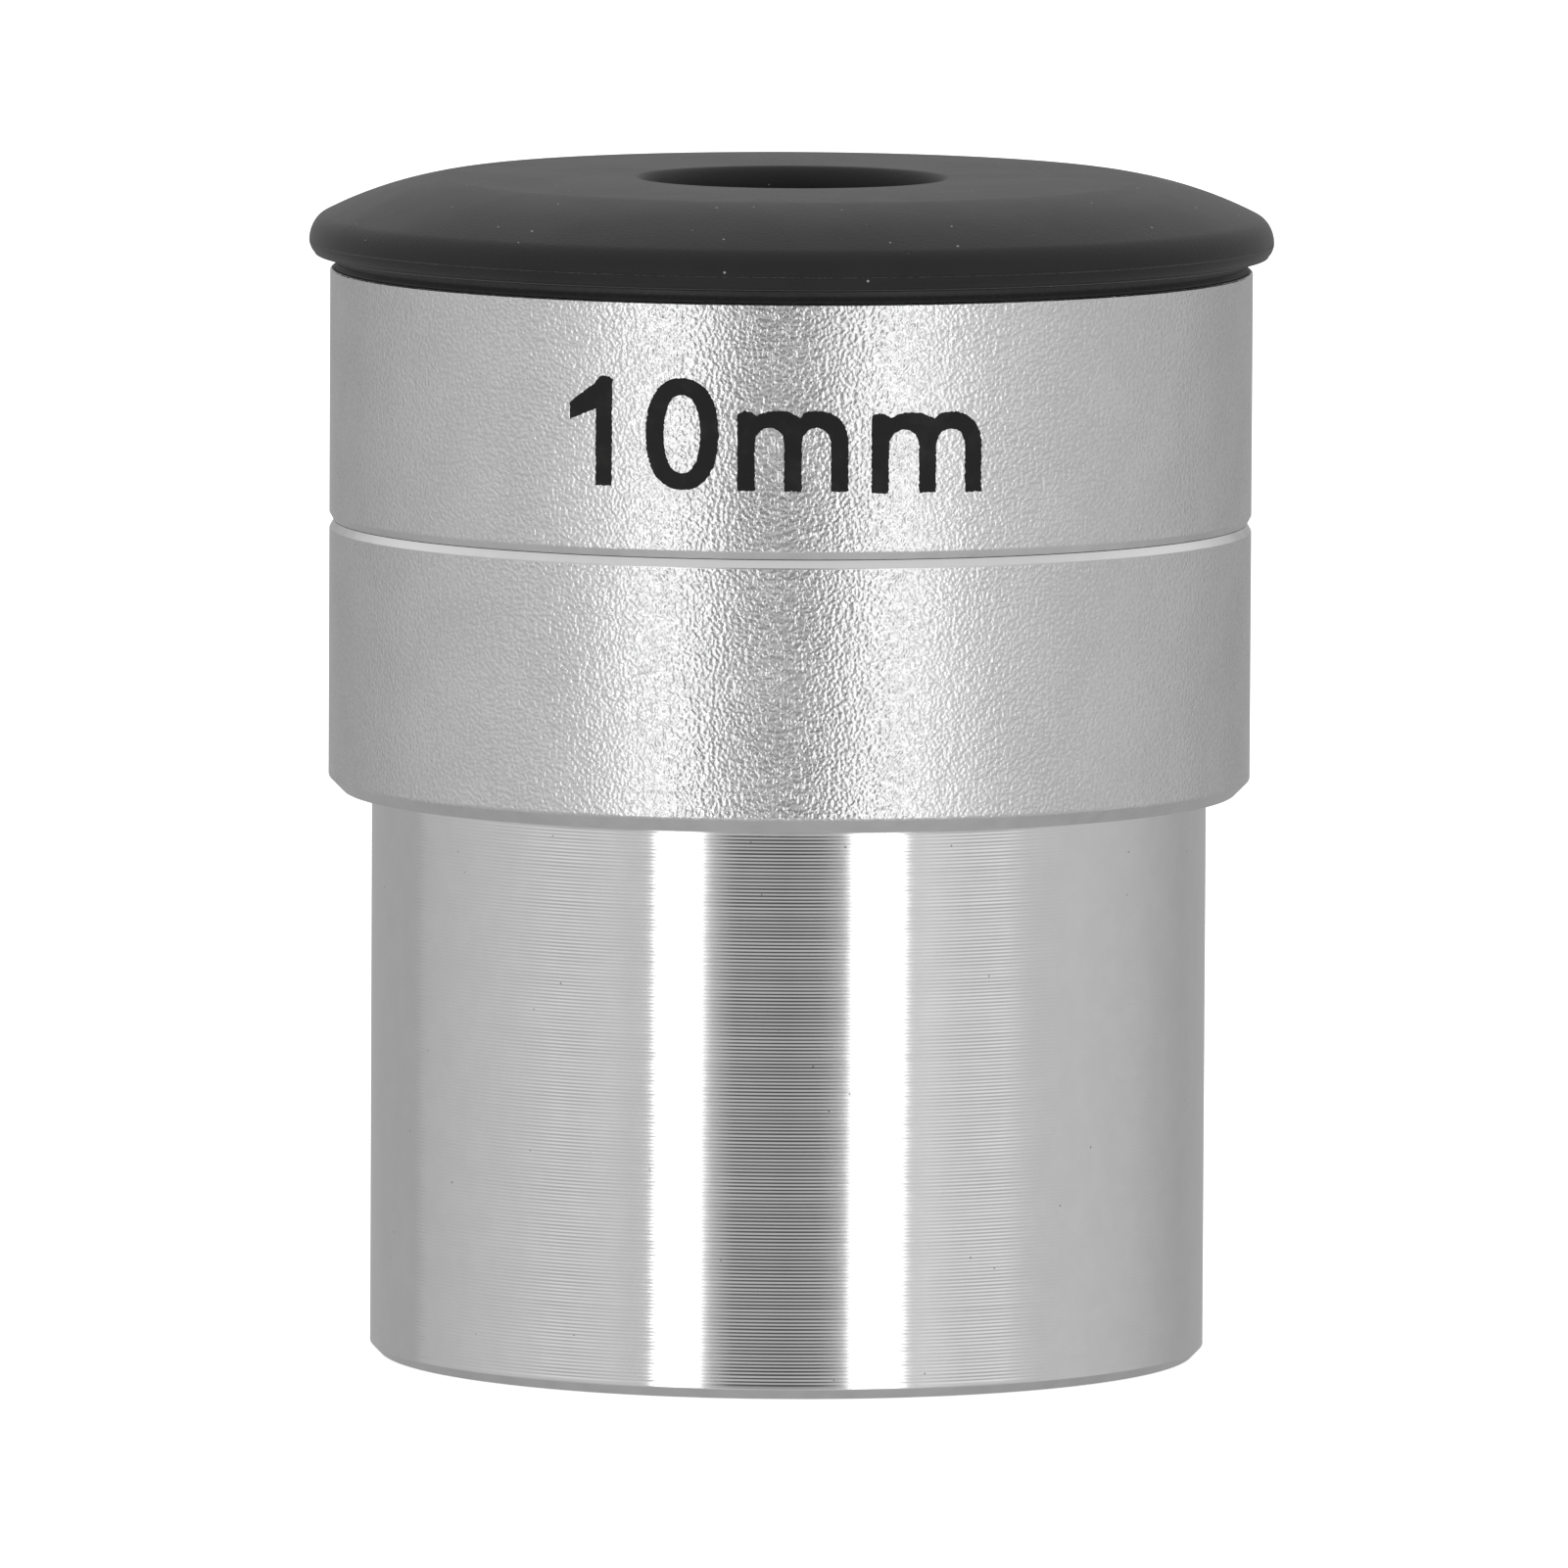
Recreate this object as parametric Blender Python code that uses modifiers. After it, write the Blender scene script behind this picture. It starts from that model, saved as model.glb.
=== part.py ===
"""Telescope eyepiece with a 1.25-inch barrel and a focal length of 10 mm.

Metres, +Z up. The origin is the centre of the barrel's open rim, and +Z points along the optical
axis to the eye. Every piece is turned about that axis: a profile of (radius, height) points in
millimetres, with heights measured from the barrel's rim, and a Screw modifier. The clamp rings are
then cut by slots for a pin spanner. Threads are plain cylinders at their real diameters.
"""

import math

import bmesh
import bpy

MM = 0.001

SHELL_SEGMENTS = 64
INNER_SEGMENTS = 48
ARC_STEPS = 4

# Gaps: faces that rest on each other, and shafts that turn or slide in a bore.
FACE_GAP = 0.05
RUNNING_GAP = 0.08

# Barrel: the 1.25-inch tube that goes into the focuser. Its shoulder and threaded spigot are
# inside the housing.
BARREL_RADIUS = 15.85
SHOULDER_HEIGHT = 22.2
BARREL_CHAMFER = 0.4
BARREL_BORE = 13.9
FILTER_THREAD_RADIUS = 14.1
FILTER_THREAD_DEPTH = 4.0
FILTER_LEAD_IN = 0.5
FILTER_RELIEF = 0.25
STOP_LEDGE_RADIUS = 12.6
STOP_LEDGE_TOP = 22.0
STOP_LEDGE_THICKNESS = 1.2
SPIGOT_RADIUS = 15.0
SPIGOT_LENGTH = 3.8
SPIGOT_BORE = 13.4
SPIGOT_CHAMFER = 0.3

# Field stop, at the eyepiece's focus.
STOP_APERTURE = 4.5
STOP_THICKNESS = 0.7
STOP_RING_THICKNESS = 1.5
STOP_RING_BORE = 10.6

# Housing: two shells that meet at a V-shaped seam.
HOUSING_RADIUS = 17.5
HOUSING_BASE = 21.46
HOUSING_CHAMFER = 0.55
SEAM_HEIGHT = 31.75
SEAM_DEPTH = 0.17
SEAM_BEVEL_ABOVE = 0.3
SEAM_BEVEL_BELOW = 0.3
HOUSING_TOP = 41.31
HOUSING_TOP_CHAMFER = 0.12
SHELL_THREAD_RADIUS = 14.0
SHELL_SPIGOT_LENGTH = 4.0
SPIGOT_HEADROOM = 0.25
EYE_END_SOCKET = 12.0
EYE_END_SOCKET_DEPTH = 1.75

# Lenses: two cemented doublets with their crowns facing each other.
LENS_RADIUS = 6.5
INTERFACE_CURVATURE = 11.0
OUTER_CURVATURE = 15.0
FLINT_CENTRE = 1.0
CROWN_EDGE = 0.45
CROWN_GAP = 0.4
CEMENT_GAP = 0.03
EYE_LENS_TOP = 40.5

# Lens cell and the rings round it.
CELL_RADIUS = 8.6
CELL_BORE = LENS_RADIUS + 0.06
CELL_TOP = 40.95
CELL_LIP_BORE = 5.9
CELL_BASE = 29.0
SPACER_BORE = 6.0
CELL_RING_BORE = 5.6
PACK_RING_RADIUS = 10.15
PACK_RING_BORE = 7.6
PACK_RING_THICKNESS = 1.3

# Eye-end ring: the black neck, and the boss that the eyecup grips.
NECK_RADIUS = 17.35
NECK_TOP = 41.78
BOSS_RADIUS = 15.5
BOSS_TOP = 43.4
BOSS_CHAMFER = 0.3
EYE_FLARE_TOP = 7.6
EYE_FLARE_BOTTOM = 6.2

# Eyecup.
CUP_BASE = 41.83
CUP_TOP = 44.8
CUP_CAVITY = BOSS_RADIUS + RUNNING_GAP
CUP_ROOF = BOSS_TOP + RUNNING_GAP
CUP_HOLE = 5.5
CUP_HOLE_ROUND = 0.5
CUP_RIM_RADIUS = 18.3
CUP_RIM_FOOT_ROUND = 0.3
CUP_RIM_SHOULDER_ACROSS = 0.86
CUP_RIM_SHOULDER_UP = 1.1
CUP_RIM_SHOULDER_BASE = 42.35
CUP_RIM_SHOULDER_ANGLE = 69.0
CUP_CREASE_RADIUS = 13.3
CUP_CONE_BULGE = 0.19

# Pin-spanner slots, cut across the clamp rings.
SLOT_WIDTH = 1.4
SLOT_DEPTH = 0.6
SLOT_OVERRUN = 1.0
SLOT_OUTER_WALL = 0.9

ALUMINIUM = (0.62, 0.62, 0.63)
BRIGHT_ALUMINIUM = (0.78, 0.78, 0.79)
BLACK = (0.012, 0.012, 0.013)
RUBBER = (0.028, 0.028, 0.028)
GLASS = (0.75, 0.85, 0.82)


def clear_scene():
    for obj in list(bpy.data.objects):
        bpy.data.objects.remove(obj, do_unlink=True)


def collection(name, hidden=False):
    made = bpy.data.collections.new(name)
    bpy.context.scene.collection.children.link(made)
    made.hide_render = hidden
    return made


def material(name, colour, roughness, metallic, transmission=0.0):
    made = bpy.data.materials.new(name)
    made.use_nodes = True
    shader = made.node_tree.nodes["Principled BSDF"]
    shader.inputs["Base Color"].default_value = (*colour, 1.0)
    shader.inputs["Roughness"].default_value = roughness
    shader.inputs["Metallic"].default_value = metallic
    shader.inputs["Transmission Weight"].default_value = transmission
    return made


def body_empty(name, height, parent=None):
    """An empty on the optical axis that carries the pieces of one moving body."""
    empty = bpy.data.objects.new(name, None)
    empty.empty_display_size = 5 * MM
    empty.location = (0.0, 0.0, height * MM)
    parts.objects.link(empty)
    if parent:
        attach(empty, parent)
    return empty


def attach(obj, parent):
    """Parents an object and keeps its height in the world."""
    height = obj.location.z
    above = parent
    while above:
        height -= above.location.z
        above = above.parent
    obj.parent = parent
    obj.location = (0.0, 0.0, height)


def turned(name, profile, look, parent, segments=SHELL_SEGMENTS):
    """A turned piece. Its profile runs down the outer side, and a hollow one's goes on up the bore."""
    base = min(height for _, height in profile)
    mesh = bpy.data.meshes.new(name)
    points = [(radius * MM, 0.0, (height - base) * MM) for radius, height in profile]
    edges = [(i, i + 1) for i in range(len(points) - 1)]
    hollow = profile[0][0] > 0
    if hollow:
        edges.append((len(points) - 1, 0))
    mesh.from_pydata(points, edges, [])
    obj = bpy.data.objects.new(name, mesh)
    obj.location = (0.0, 0.0, base * MM)
    parts.objects.link(obj)
    obj.data.materials.append(look)

    screw = obj.modifiers.new("Turn", "SCREW")
    screw.axis = "Z"
    screw.steps = segments
    screw.render_steps = segments
    screw.use_merge_vertices = True
    screw.merge_threshold = 0.00001
    screw.use_smooth_shade = True
    attach(obj, parent)
    return obj


def cut_spanner_slots(obj, bore, radius, face):
    """Two slots at +X and -X across one face of a ring, open to its bore and short of its rim."""
    mesh = bpy.data.meshes.new(obj.name + "_slots")
    blank = bmesh.new()
    inner = bore - SLOT_OVERRUN
    outer = radius - SLOT_OUTER_WALL
    length = (outer - inner) * MM
    middle = (outer + inner) / 2 * MM
    for side in (-1, 1):
        made = bmesh.ops.create_cube(blank, size=1.0)
        bmesh.ops.scale(blank, vec=(length, SLOT_WIDTH * MM, 2 * SLOT_DEPTH * MM), verts=made["verts"])
        bmesh.ops.translate(blank, vec=(side * middle, 0.0, 0.0), verts=made["verts"])
    blank.to_mesh(mesh)
    blank.free()
    cutter = bpy.data.objects.new(obj.name + "_slots", mesh)
    cutter.location = (0.0, 0.0, face * MM)
    cutter.hide_render = True
    cutter.display_type = "WIRE"
    cutters.objects.link(cutter)
    cut = obj.modifiers.new("Spanner slots", "BOOLEAN")
    cut.operation = "DIFFERENCE"
    cut.solver = "EXACT"
    cut.object = cutter


def sag(curvature, radius):
    """How far a sphere's surface falls away from its vertex at this radius."""
    return curvature - math.sqrt(curvature**2 - radius**2)


def lens_surface(vertex, curvature, direction):
    """Points from the axis to the lens's edge; direction is +1 where the edge is above the vertex."""
    steps = [LENS_RADIUS * i / ARC_STEPS for i in range(ARC_STEPS + 1)]
    return [(radius, vertex + direction * sag(curvature, radius)) for radius in steps]


def arc(centre, across, up, start, end, steps=ARC_STEPS):
    """Points on an ellipse in the profile's plane, angles in degrees up from the outward direction."""
    angles = [math.radians(start + (end - start) * i / steps) for i in range(steps + 1)]
    return [(centre[0] + across * math.cos(a), centre[1] + up * math.sin(a)) for a in angles]


def bulged(start, end, bulge, steps=ARC_STEPS):
    """The points after start, up to end, of a shallow curve that stands off its chord by bulge."""
    along = (end[0] - start[0], end[1] - start[1])
    length = math.hypot(*along)
    outward = (-along[1] / length, along[0] / length)
    points = []
    for i in range(1, steps + 1):
        t = i / steps
        off = 4 * bulge * t * (1 - t)
        across = start[0] + along[0] * t + outward[0] * off
        up = start[1] + along[1] * t + outward[1] * off
        points.append((across, up))
    return points


def make_barrel(look, parent):
    spigot_top = SHOULDER_HEIGHT + SPIGOT_LENGTH
    ledge_base = STOP_LEDGE_TOP - STOP_LEDGE_THICKNESS
    relief_top = FILTER_THREAD_DEPTH + 2 * FILTER_RELIEF
    profile = [
        (SPIGOT_BORE, spigot_top),
        (SPIGOT_RADIUS - SPIGOT_CHAMFER, spigot_top),
        (SPIGOT_RADIUS, spigot_top - SPIGOT_CHAMFER),
        (SPIGOT_RADIUS, SHOULDER_HEIGHT),
        (BARREL_RADIUS, SHOULDER_HEIGHT),
        (BARREL_RADIUS, BARREL_CHAMFER),
        (BARREL_RADIUS - BARREL_CHAMFER, 0.0),
        (FILTER_THREAD_RADIUS + FILTER_LEAD_IN, 0.0),
        (FILTER_THREAD_RADIUS, FILTER_LEAD_IN),
        (FILTER_THREAD_RADIUS, FILTER_THREAD_DEPTH),
        (FILTER_THREAD_RADIUS + FILTER_RELIEF, FILTER_THREAD_DEPTH + FILTER_RELIEF),
        (BARREL_BORE, relief_top),
        (BARREL_BORE, ledge_base),
        (STOP_LEDGE_RADIUS, ledge_base),
        (STOP_LEDGE_RADIUS, STOP_LEDGE_TOP),
        (SPIGOT_BORE, STOP_LEDGE_TOP),
    ]
    turned("barrel", profile, look, parent)


def make_field_stop(look, parent):
    radius = SPIGOT_BORE - RUNNING_GAP
    base = STOP_LEDGE_TOP + FACE_GAP
    top = base + STOP_THICKNESS
    profile = [
        (STOP_APERTURE + STOP_THICKNESS, top),
        (radius, top),
        (radius, base),
        (STOP_APERTURE, base),
    ]
    turned("field_stop_disc", profile, look, parent, INNER_SEGMENTS)

    ring_base = top + FACE_GAP
    ring_top = ring_base + STOP_RING_THICKNESS
    profile = [
        (STOP_RING_BORE, ring_top),
        (radius, ring_top),
        (radius, ring_base),
        (STOP_RING_BORE, ring_base),
    ]
    ring = turned("field_stop_ring", profile, look, parent, INNER_SEGMENTS)
    cut_spanner_slots(ring, STOP_RING_BORE, radius, ring_top)


def make_lower_body(look, parent):
    mouth = BARREL_RADIUS + RUNNING_GAP
    mouth_top = SHOULDER_HEIGHT + FACE_GAP
    recess = SPIGOT_RADIUS + RUNNING_GAP
    recess_top = SHOULDER_HEIGHT + SPIGOT_LENGTH + SPIGOT_HEADROOM
    top = SEAM_HEIGHT - FACE_GAP / 2
    profile = [
        (SHELL_THREAD_RADIUS, top),
        (HOUSING_RADIUS - SEAM_DEPTH, top),
        (HOUSING_RADIUS, SEAM_HEIGHT - SEAM_BEVEL_BELOW),
        (HOUSING_RADIUS, HOUSING_BASE + HOUSING_CHAMFER),
        (HOUSING_RADIUS - HOUSING_CHAMFER, HOUSING_BASE),
        (mouth, HOUSING_BASE),
        (mouth, mouth_top),
        (recess, mouth_top),
        (recess, recess_top),
        (SHELL_THREAD_RADIUS, recess_top),
    ]
    turned("lower_body", profile, look, parent)


def make_upper_body(look, parent):
    base = SEAM_HEIGHT + FACE_GAP / 2
    spigot = SHELL_THREAD_RADIUS - RUNNING_GAP
    spigot_base = SEAM_HEIGHT - SHELL_SPIGOT_LENGTH
    ring_seat = CELL_BASE
    ring_bore = PACK_RING_RADIUS + RUNNING_GAP
    bore = CELL_RADIUS + RUNNING_GAP
    socket_base = HOUSING_TOP - EYE_END_SOCKET_DEPTH
    profile = [
        (EYE_END_SOCKET, HOUSING_TOP),
        (HOUSING_RADIUS - HOUSING_TOP_CHAMFER, HOUSING_TOP),
        (HOUSING_RADIUS, HOUSING_TOP - HOUSING_TOP_CHAMFER),
        (HOUSING_RADIUS, SEAM_HEIGHT + SEAM_BEVEL_ABOVE),
        (HOUSING_RADIUS - SEAM_DEPTH, base),
        (spigot, base),
        (spigot, spigot_base),
        (ring_bore, spigot_base),
        (ring_bore, ring_seat),
        (bore, ring_seat),
        (bore, socket_base),
        (EYE_END_SOCKET, socket_base),
    ]
    turned("upper_body", profile, look, parent)


def make_eye_end_ring(look, parent):
    plug = EYE_END_SOCKET - RUNNING_GAP
    plug_base = HOUSING_TOP - EYE_END_SOCKET_DEPTH + FACE_GAP
    neck_base = HOUSING_TOP + FACE_GAP
    cell_bore = CELL_RADIUS + RUNNING_GAP
    lip_base = CELL_TOP + FACE_GAP
    profile = [
        (EYE_FLARE_TOP, BOSS_TOP),
        (BOSS_RADIUS - BOSS_CHAMFER, BOSS_TOP),
        (BOSS_RADIUS, BOSS_TOP - BOSS_CHAMFER),
        (BOSS_RADIUS, NECK_TOP),
        (NECK_RADIUS, NECK_TOP),
        (NECK_RADIUS, neck_base),
        (plug, neck_base),
        (plug, plug_base),
        (cell_bore, plug_base),
        (cell_bore, lip_base),
        (EYE_FLARE_BOTTOM, lip_base),
    ]
    turned("eye_end_ring", profile, look, parent)


def make_eyecup(look, parent):
    foot_centre = (CUP_RIM_RADIUS - CUP_RIM_FOOT_ROUND, CUP_BASE + CUP_RIM_FOOT_ROUND)
    foot = arc(foot_centre, CUP_RIM_FOOT_ROUND, CUP_RIM_FOOT_ROUND, 0.0, -90.0, 2)
    shoulder_centre = (CUP_RIM_RADIUS - CUP_RIM_SHOULDER_ACROSS, CUP_RIM_SHOULDER_BASE)
    shoulder = arc(
        shoulder_centre, CUP_RIM_SHOULDER_ACROSS, CUP_RIM_SHOULDER_UP, CUP_RIM_SHOULDER_ANGLE, 0.0
    )
    crease = (CUP_CREASE_RADIUS, CUP_TOP)
    cone = bulged(shoulder[0], crease, -CUP_CONE_BULGE)
    hole_centre = (CUP_HOLE + CUP_HOLE_ROUND, CUP_TOP - CUP_HOLE_ROUND)
    hole_edge = arc(hole_centre, CUP_HOLE_ROUND, CUP_HOLE_ROUND, 180.0, 90.0, 2)
    profile = [
        *hole_edge,
        *reversed(cone),
        *shoulder,
        *foot,
        (CUP_CAVITY, CUP_BASE),
        (CUP_CAVITY, CUP_ROOF),
        (CUP_HOLE, CUP_ROOF),
    ]
    turned("eyecup", profile, look, parent)


def make_lens_pack(cell_look, glass_look, parent):
    crown_centre = sag(INTERFACE_CURVATURE, LENS_RADIUS) + CROWN_EDGE + sag(OUTER_CURVATURE, LENS_RADIUS)
    crown_vertex = EYE_LENS_TOP - FLINT_CENTRE - crown_centre
    middle = crown_vertex - CROWN_GAP / 2

    # The two doublets are alike, and mirrored about the middle of the gap between their crowns.
    for name, side in (("eye_lens", 1), ("field_lens", -1)):
        flat = middle + side * (EYE_LENS_TOP - middle)
        interface = flat - side * FLINT_CENTRE
        outer = middle + side * CROWN_GAP / 2
        glued = lens_surface(interface, INTERFACE_CURVATURE, -side)
        crown_glued = [(radius, height - side * CEMENT_GAP) for radius, height in glued]
        crown_outer = lens_surface(outer, OUTER_CURVATURE, side)
        flint = [(0.0, flat), (LENS_RADIUS, flat), *reversed(glued)]
        crown = [*crown_glued, *reversed(crown_outer)]
        if side < 0:
            flint.reverse()
            crown.reverse()
        turned(name + "_flint", flint, glass_look, parent, INNER_SEGMENTS)
        turned(name + "_crown", crown, glass_look, parent, INNER_SEGMENTS)

    spacer_half = CROWN_GAP / 2 + sag(OUTER_CURVATURE, SPACER_BORE) - FACE_GAP
    profile = [
        (SPACER_BORE, middle + spacer_half),
        (LENS_RADIUS, middle + spacer_half),
        (LENS_RADIUS, middle - spacer_half),
        (SPACER_BORE, middle - spacer_half),
    ]
    turned("lens_spacer", profile, cell_look, parent, INNER_SEGMENTS)

    profile = [
        (CELL_LIP_BORE, CELL_TOP),
        (CELL_RADIUS, CELL_TOP),
        (CELL_RADIUS, CELL_BASE),
        (CELL_BORE, CELL_BASE),
        (CELL_BORE, EYE_LENS_TOP + FACE_GAP),
        (CELL_LIP_BORE, EYE_LENS_TOP + FACE_GAP),
    ]
    turned("lens_cell", profile, cell_look, parent, INNER_SEGMENTS)

    field_flat = middle - (EYE_LENS_TOP - middle)
    ring_top = field_flat - FACE_GAP
    profile = [
        (CELL_RING_BORE, ring_top),
        (LENS_RADIUS, ring_top),
        (LENS_RADIUS, CELL_BASE),
        (CELL_RING_BORE, CELL_BASE),
    ]
    turned("cell_lock_ring", profile, cell_look, parent, INNER_SEGMENTS)


def make_pack_lock_ring(look, parent):
    top = CELL_BASE - FACE_GAP
    base = top - PACK_RING_THICKNESS
    profile = [
        (PACK_RING_BORE, top),
        (PACK_RING_RADIUS, top),
        (PACK_RING_RADIUS, base),
        (PACK_RING_BORE, base),
    ]
    ring = turned("pack_lock_ring", profile, look, parent, INNER_SEGMENTS)
    cut_spanner_slots(ring, PACK_RING_BORE, PACK_RING_RADIUS, base)


clear_scene()
parts = collection("telescope_eyepiece")
cutters = collection("telescope_eyepiece_cutters", hidden=True)

bright = material("turned_aluminium", BRIGHT_ALUMINIUM, 0.22, 1.0)
satin = material("sandblasted_aluminium", ALUMINIUM, 0.45, 1.0)
anodised = material("black_anodised", BLACK, 0.5, 0.0)
rubber = material("black_rubber", RUBBER, 0.75, 0.0)
glass = material("coated_glass", GLASS, 0.02, 0.0, transmission=1.0)

barrel_body = body_empty("barrel_body", 0.0)
pack_body = body_empty("lens_pack_body", CELL_BASE, barrel_body)
housing_body = body_empty("housing_body", HOUSING_BASE, pack_body)
eyecup_body = body_empty("eyecup_body", CUP_BASE, housing_body)

make_barrel(bright, barrel_body)
make_field_stop(anodised, barrel_body)
make_lens_pack(anodised, glass, pack_body)
make_lower_body(satin, housing_body)
make_upper_body(satin, housing_body)
make_pack_lock_ring(anodised, housing_body)
make_eye_end_ring(anodised, housing_body)
make_eyecup(rubber, eyecup_body)
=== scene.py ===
"""Looks of the telescope eyepiece: fine turned metal, threads, blasted grain, rubber, glass and marking.

Every piece is turned about the optical axis, Z. Profiles are (radius, height) points in millimetres
above the barrel's rim, and -Y is the front, which carries the marking. Outer sizes and seats come
from the CAD boxes; the constants here are the details that CAD leaves plain.
"""

import math
import random

import bmesh
import bpy
import numpy as np
from mathutils import Matrix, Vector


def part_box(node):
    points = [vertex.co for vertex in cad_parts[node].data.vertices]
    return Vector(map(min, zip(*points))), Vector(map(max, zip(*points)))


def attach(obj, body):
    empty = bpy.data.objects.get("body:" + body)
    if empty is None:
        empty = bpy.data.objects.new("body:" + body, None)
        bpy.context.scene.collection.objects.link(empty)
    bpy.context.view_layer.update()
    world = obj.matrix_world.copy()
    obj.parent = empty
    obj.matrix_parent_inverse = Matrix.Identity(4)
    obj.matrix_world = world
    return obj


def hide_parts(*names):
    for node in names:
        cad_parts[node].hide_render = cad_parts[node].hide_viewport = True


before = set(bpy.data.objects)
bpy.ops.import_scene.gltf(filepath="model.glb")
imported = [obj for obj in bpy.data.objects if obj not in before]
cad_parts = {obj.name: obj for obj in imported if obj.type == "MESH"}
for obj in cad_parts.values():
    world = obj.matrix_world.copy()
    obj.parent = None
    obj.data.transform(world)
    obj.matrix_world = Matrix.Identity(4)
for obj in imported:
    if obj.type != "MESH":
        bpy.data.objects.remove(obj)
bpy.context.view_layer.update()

MM = 0.001

# Points round a turned piece.
SEGMENTS = 192
FINE_SEGMENTS = 204
LENS_SEGMENTS = 96

SUPPORT = 0.03  # a ring this far from each rounded edge keeps the flat faces flat in the shading
FIT = 0.08  # how far a bore stands off what sits in it

# Barrel.
TURNING_PITCH = 0.1316
TURNING_TILT = 7.0
TURNING_TILT_SPREAD = 2.0
BARREL_CHAMFER = 0.4
BARREL_BORE = 13.9
FILTER_BORE = 14.1
FILTER_PITCH = 0.6
FILTER_DEPTH = 4.0
LEDGE_BORE = 12.6
LEDGE_TOP = 22.0
LEDGE_THICKNESS = 1.2
SHOULDER = 22.2
SPIGOT_RADIUS = 15.0
SPIGOT_BORE = 13.4
SPIGOT_PITCH = 0.75
SPIGOT_RELIEF = 0.35
THREAD_DEPTH = 0.2

# Housing.
CHAMFER = 0.55
TOP_EDGE_BREAK = 0.06
SEAM_DEPTH = 0.17
SEAM_BEVEL_ABOVE = 0.3
SEAM_BEVEL_BELOW = 0.3
MOUTH = 15.93
RECESS = 15.08
RECESS_TOP = 26.25
SHELL_THREAD = 14.0
EYE_END_SOCKET = 12.0
EYE_END_SOCKET_DEPTH = 1.75
NECK_FOOT = 0.015
NECK_INSET = 0.1
BOSS_RADIUS = 15.5
BOSS_CHAMFER = 0.3
BOSS_BORE = 7.6

# Eyecup.
RIM_FOOT_ACROSS = 0.45
RIM_FOOT_UP = 0.6
RIM_SHOULDER_ACROSS = 0.86
RIM_SHOULDER_UP = 1.1
RIM_SHOULDER_BASE = 42.35
CREASE_RADIUS = 13.3
CONE_BULGE = 0.19
CUP_HOLE = 5.5
CUP_HOLE_ROUND = 0.5
CUP_HOLE_DROP = 1.0
CUP_CAVITY = 15.58
CUP_ROOF = 43.48

# Inside.
FIELD_APERTURE = 4.5
CELL_APERTURE = 5.9
SPACER_BORE = 6.0
SLOT_WIDTH = 1.4
SLOT_DEPTH = 0.6
INTERFACE_CURVATURE = 11.0
OUTER_CURVATURE = 15.0

# Marking: stroke width and letter sizes along the housing's surface.
STROKE = 0.66
DIGIT_HEIGHT = 4.1
LETTER_HEIGHT = 3.02
INK_THICKNESS = 0.012
INK_WOBBLE = 0.013
INK_STRIP = 0.35
CHARACTERS_SEED = 10
TURNING_SEED = 31

# Light tent, seen from the eyepiece: azimuth in degrees right of the camera, then the brightness
# above and below the camera's height. Two bright strips stand left and right of the camera.
TENT = (
    (-180, 0.4, 0.4),
    (-150, 0.38, 0.38),
    (-125, 0.385, 0.385),
    (-121, 0.455, 0.455),
    (-97, 0.53, 0.5),
    (-78, 0.62, 0.5),
    (-66, 0.73, 0.45),
    (-50, 0.68, 0.53),
    (-44, 0.6, 0.52),
    (-38, 0.6, 0.5),
    (-37.2, 2.3, 2.3),
    (-24.8, 2.3, 2.3),
    (-23.6, 0.65, 0.65),
    (-20, 0.36, 0.52),
    (-15, 0.12, 0.5),
    (0, 0.09, 0.47),
    (9, 0.12, 0.5),
    (14, 0.3, 0.52),
    (17.2, 0.6, 0.65),
    (18.1, 2.05, 2.05),
    (32.0, 2.05, 2.05),
    (32.9, 0.6, 0.6),
    (39, 0.76, 0.62),
    (50, 0.76, 0.48),
    (62, 0.8, 0.47),
    (68, 0.62, 0.52),
    (74, 0.55, 0.53),
    (90, 0.53, 0.53),
    (110, 0.485, 0.485),
    (125, 0.42, 0.42),
    (140, 0.37, 0.37),
    (180, 0.4, 0.4),
)
BRIGHTEST = 4.0
OVERHEAD = 0.86
NADIR = 0.42
BACK_LIGHT = 0.95
BEYOND_STRIPS = 0.62
BACKDROP = 1.1

# Where one part of the tent passes into the next, in degrees of elevation or away from the camera.
LOWER_TO_UPPER = (-14.0, 3.0)
STRIP_MIDDLE = -5.5
STRIP_ENDS = (17.0, 25.0)
TO_NADIR = (-88.0, -60.0)
TO_OVERHEAD = (28.0, 50.0)
TO_BEHIND = (60.0, 120.0)
TO_RAISED = (8.0, 24.0)

FLOOR_HALF = 4000.0
FLOOR_GLOW = 0.62

CAMERA_PLACE = (-0.00019, -0.9698, 0.11536)
CAMERA_DOWN = 5.518
CAMERA_ROLL = 0.288
CAMERA_LENS = 588.7


def span(node):
    """(outer radius, lowest height, highest height) of a CAD node, in millimetres."""
    low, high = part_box(node)
    return high.x / MM, low.z / MM, high.z / MM


# ---------------------------------------------------------------- profiles


def corner(radius, height, fillet=0.04, look=0):
    """A corner of a profile. The band that arrives at it has this look."""
    return (radius, height, fillet, look)


def path(points, look=0, sharp=False):
    """A run of points kept as they are; sharp ones keep a hard edge in the shading."""
    return [(radius, height, -1.0 if sharp else 0.0, look) for radius, height in points]


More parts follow.
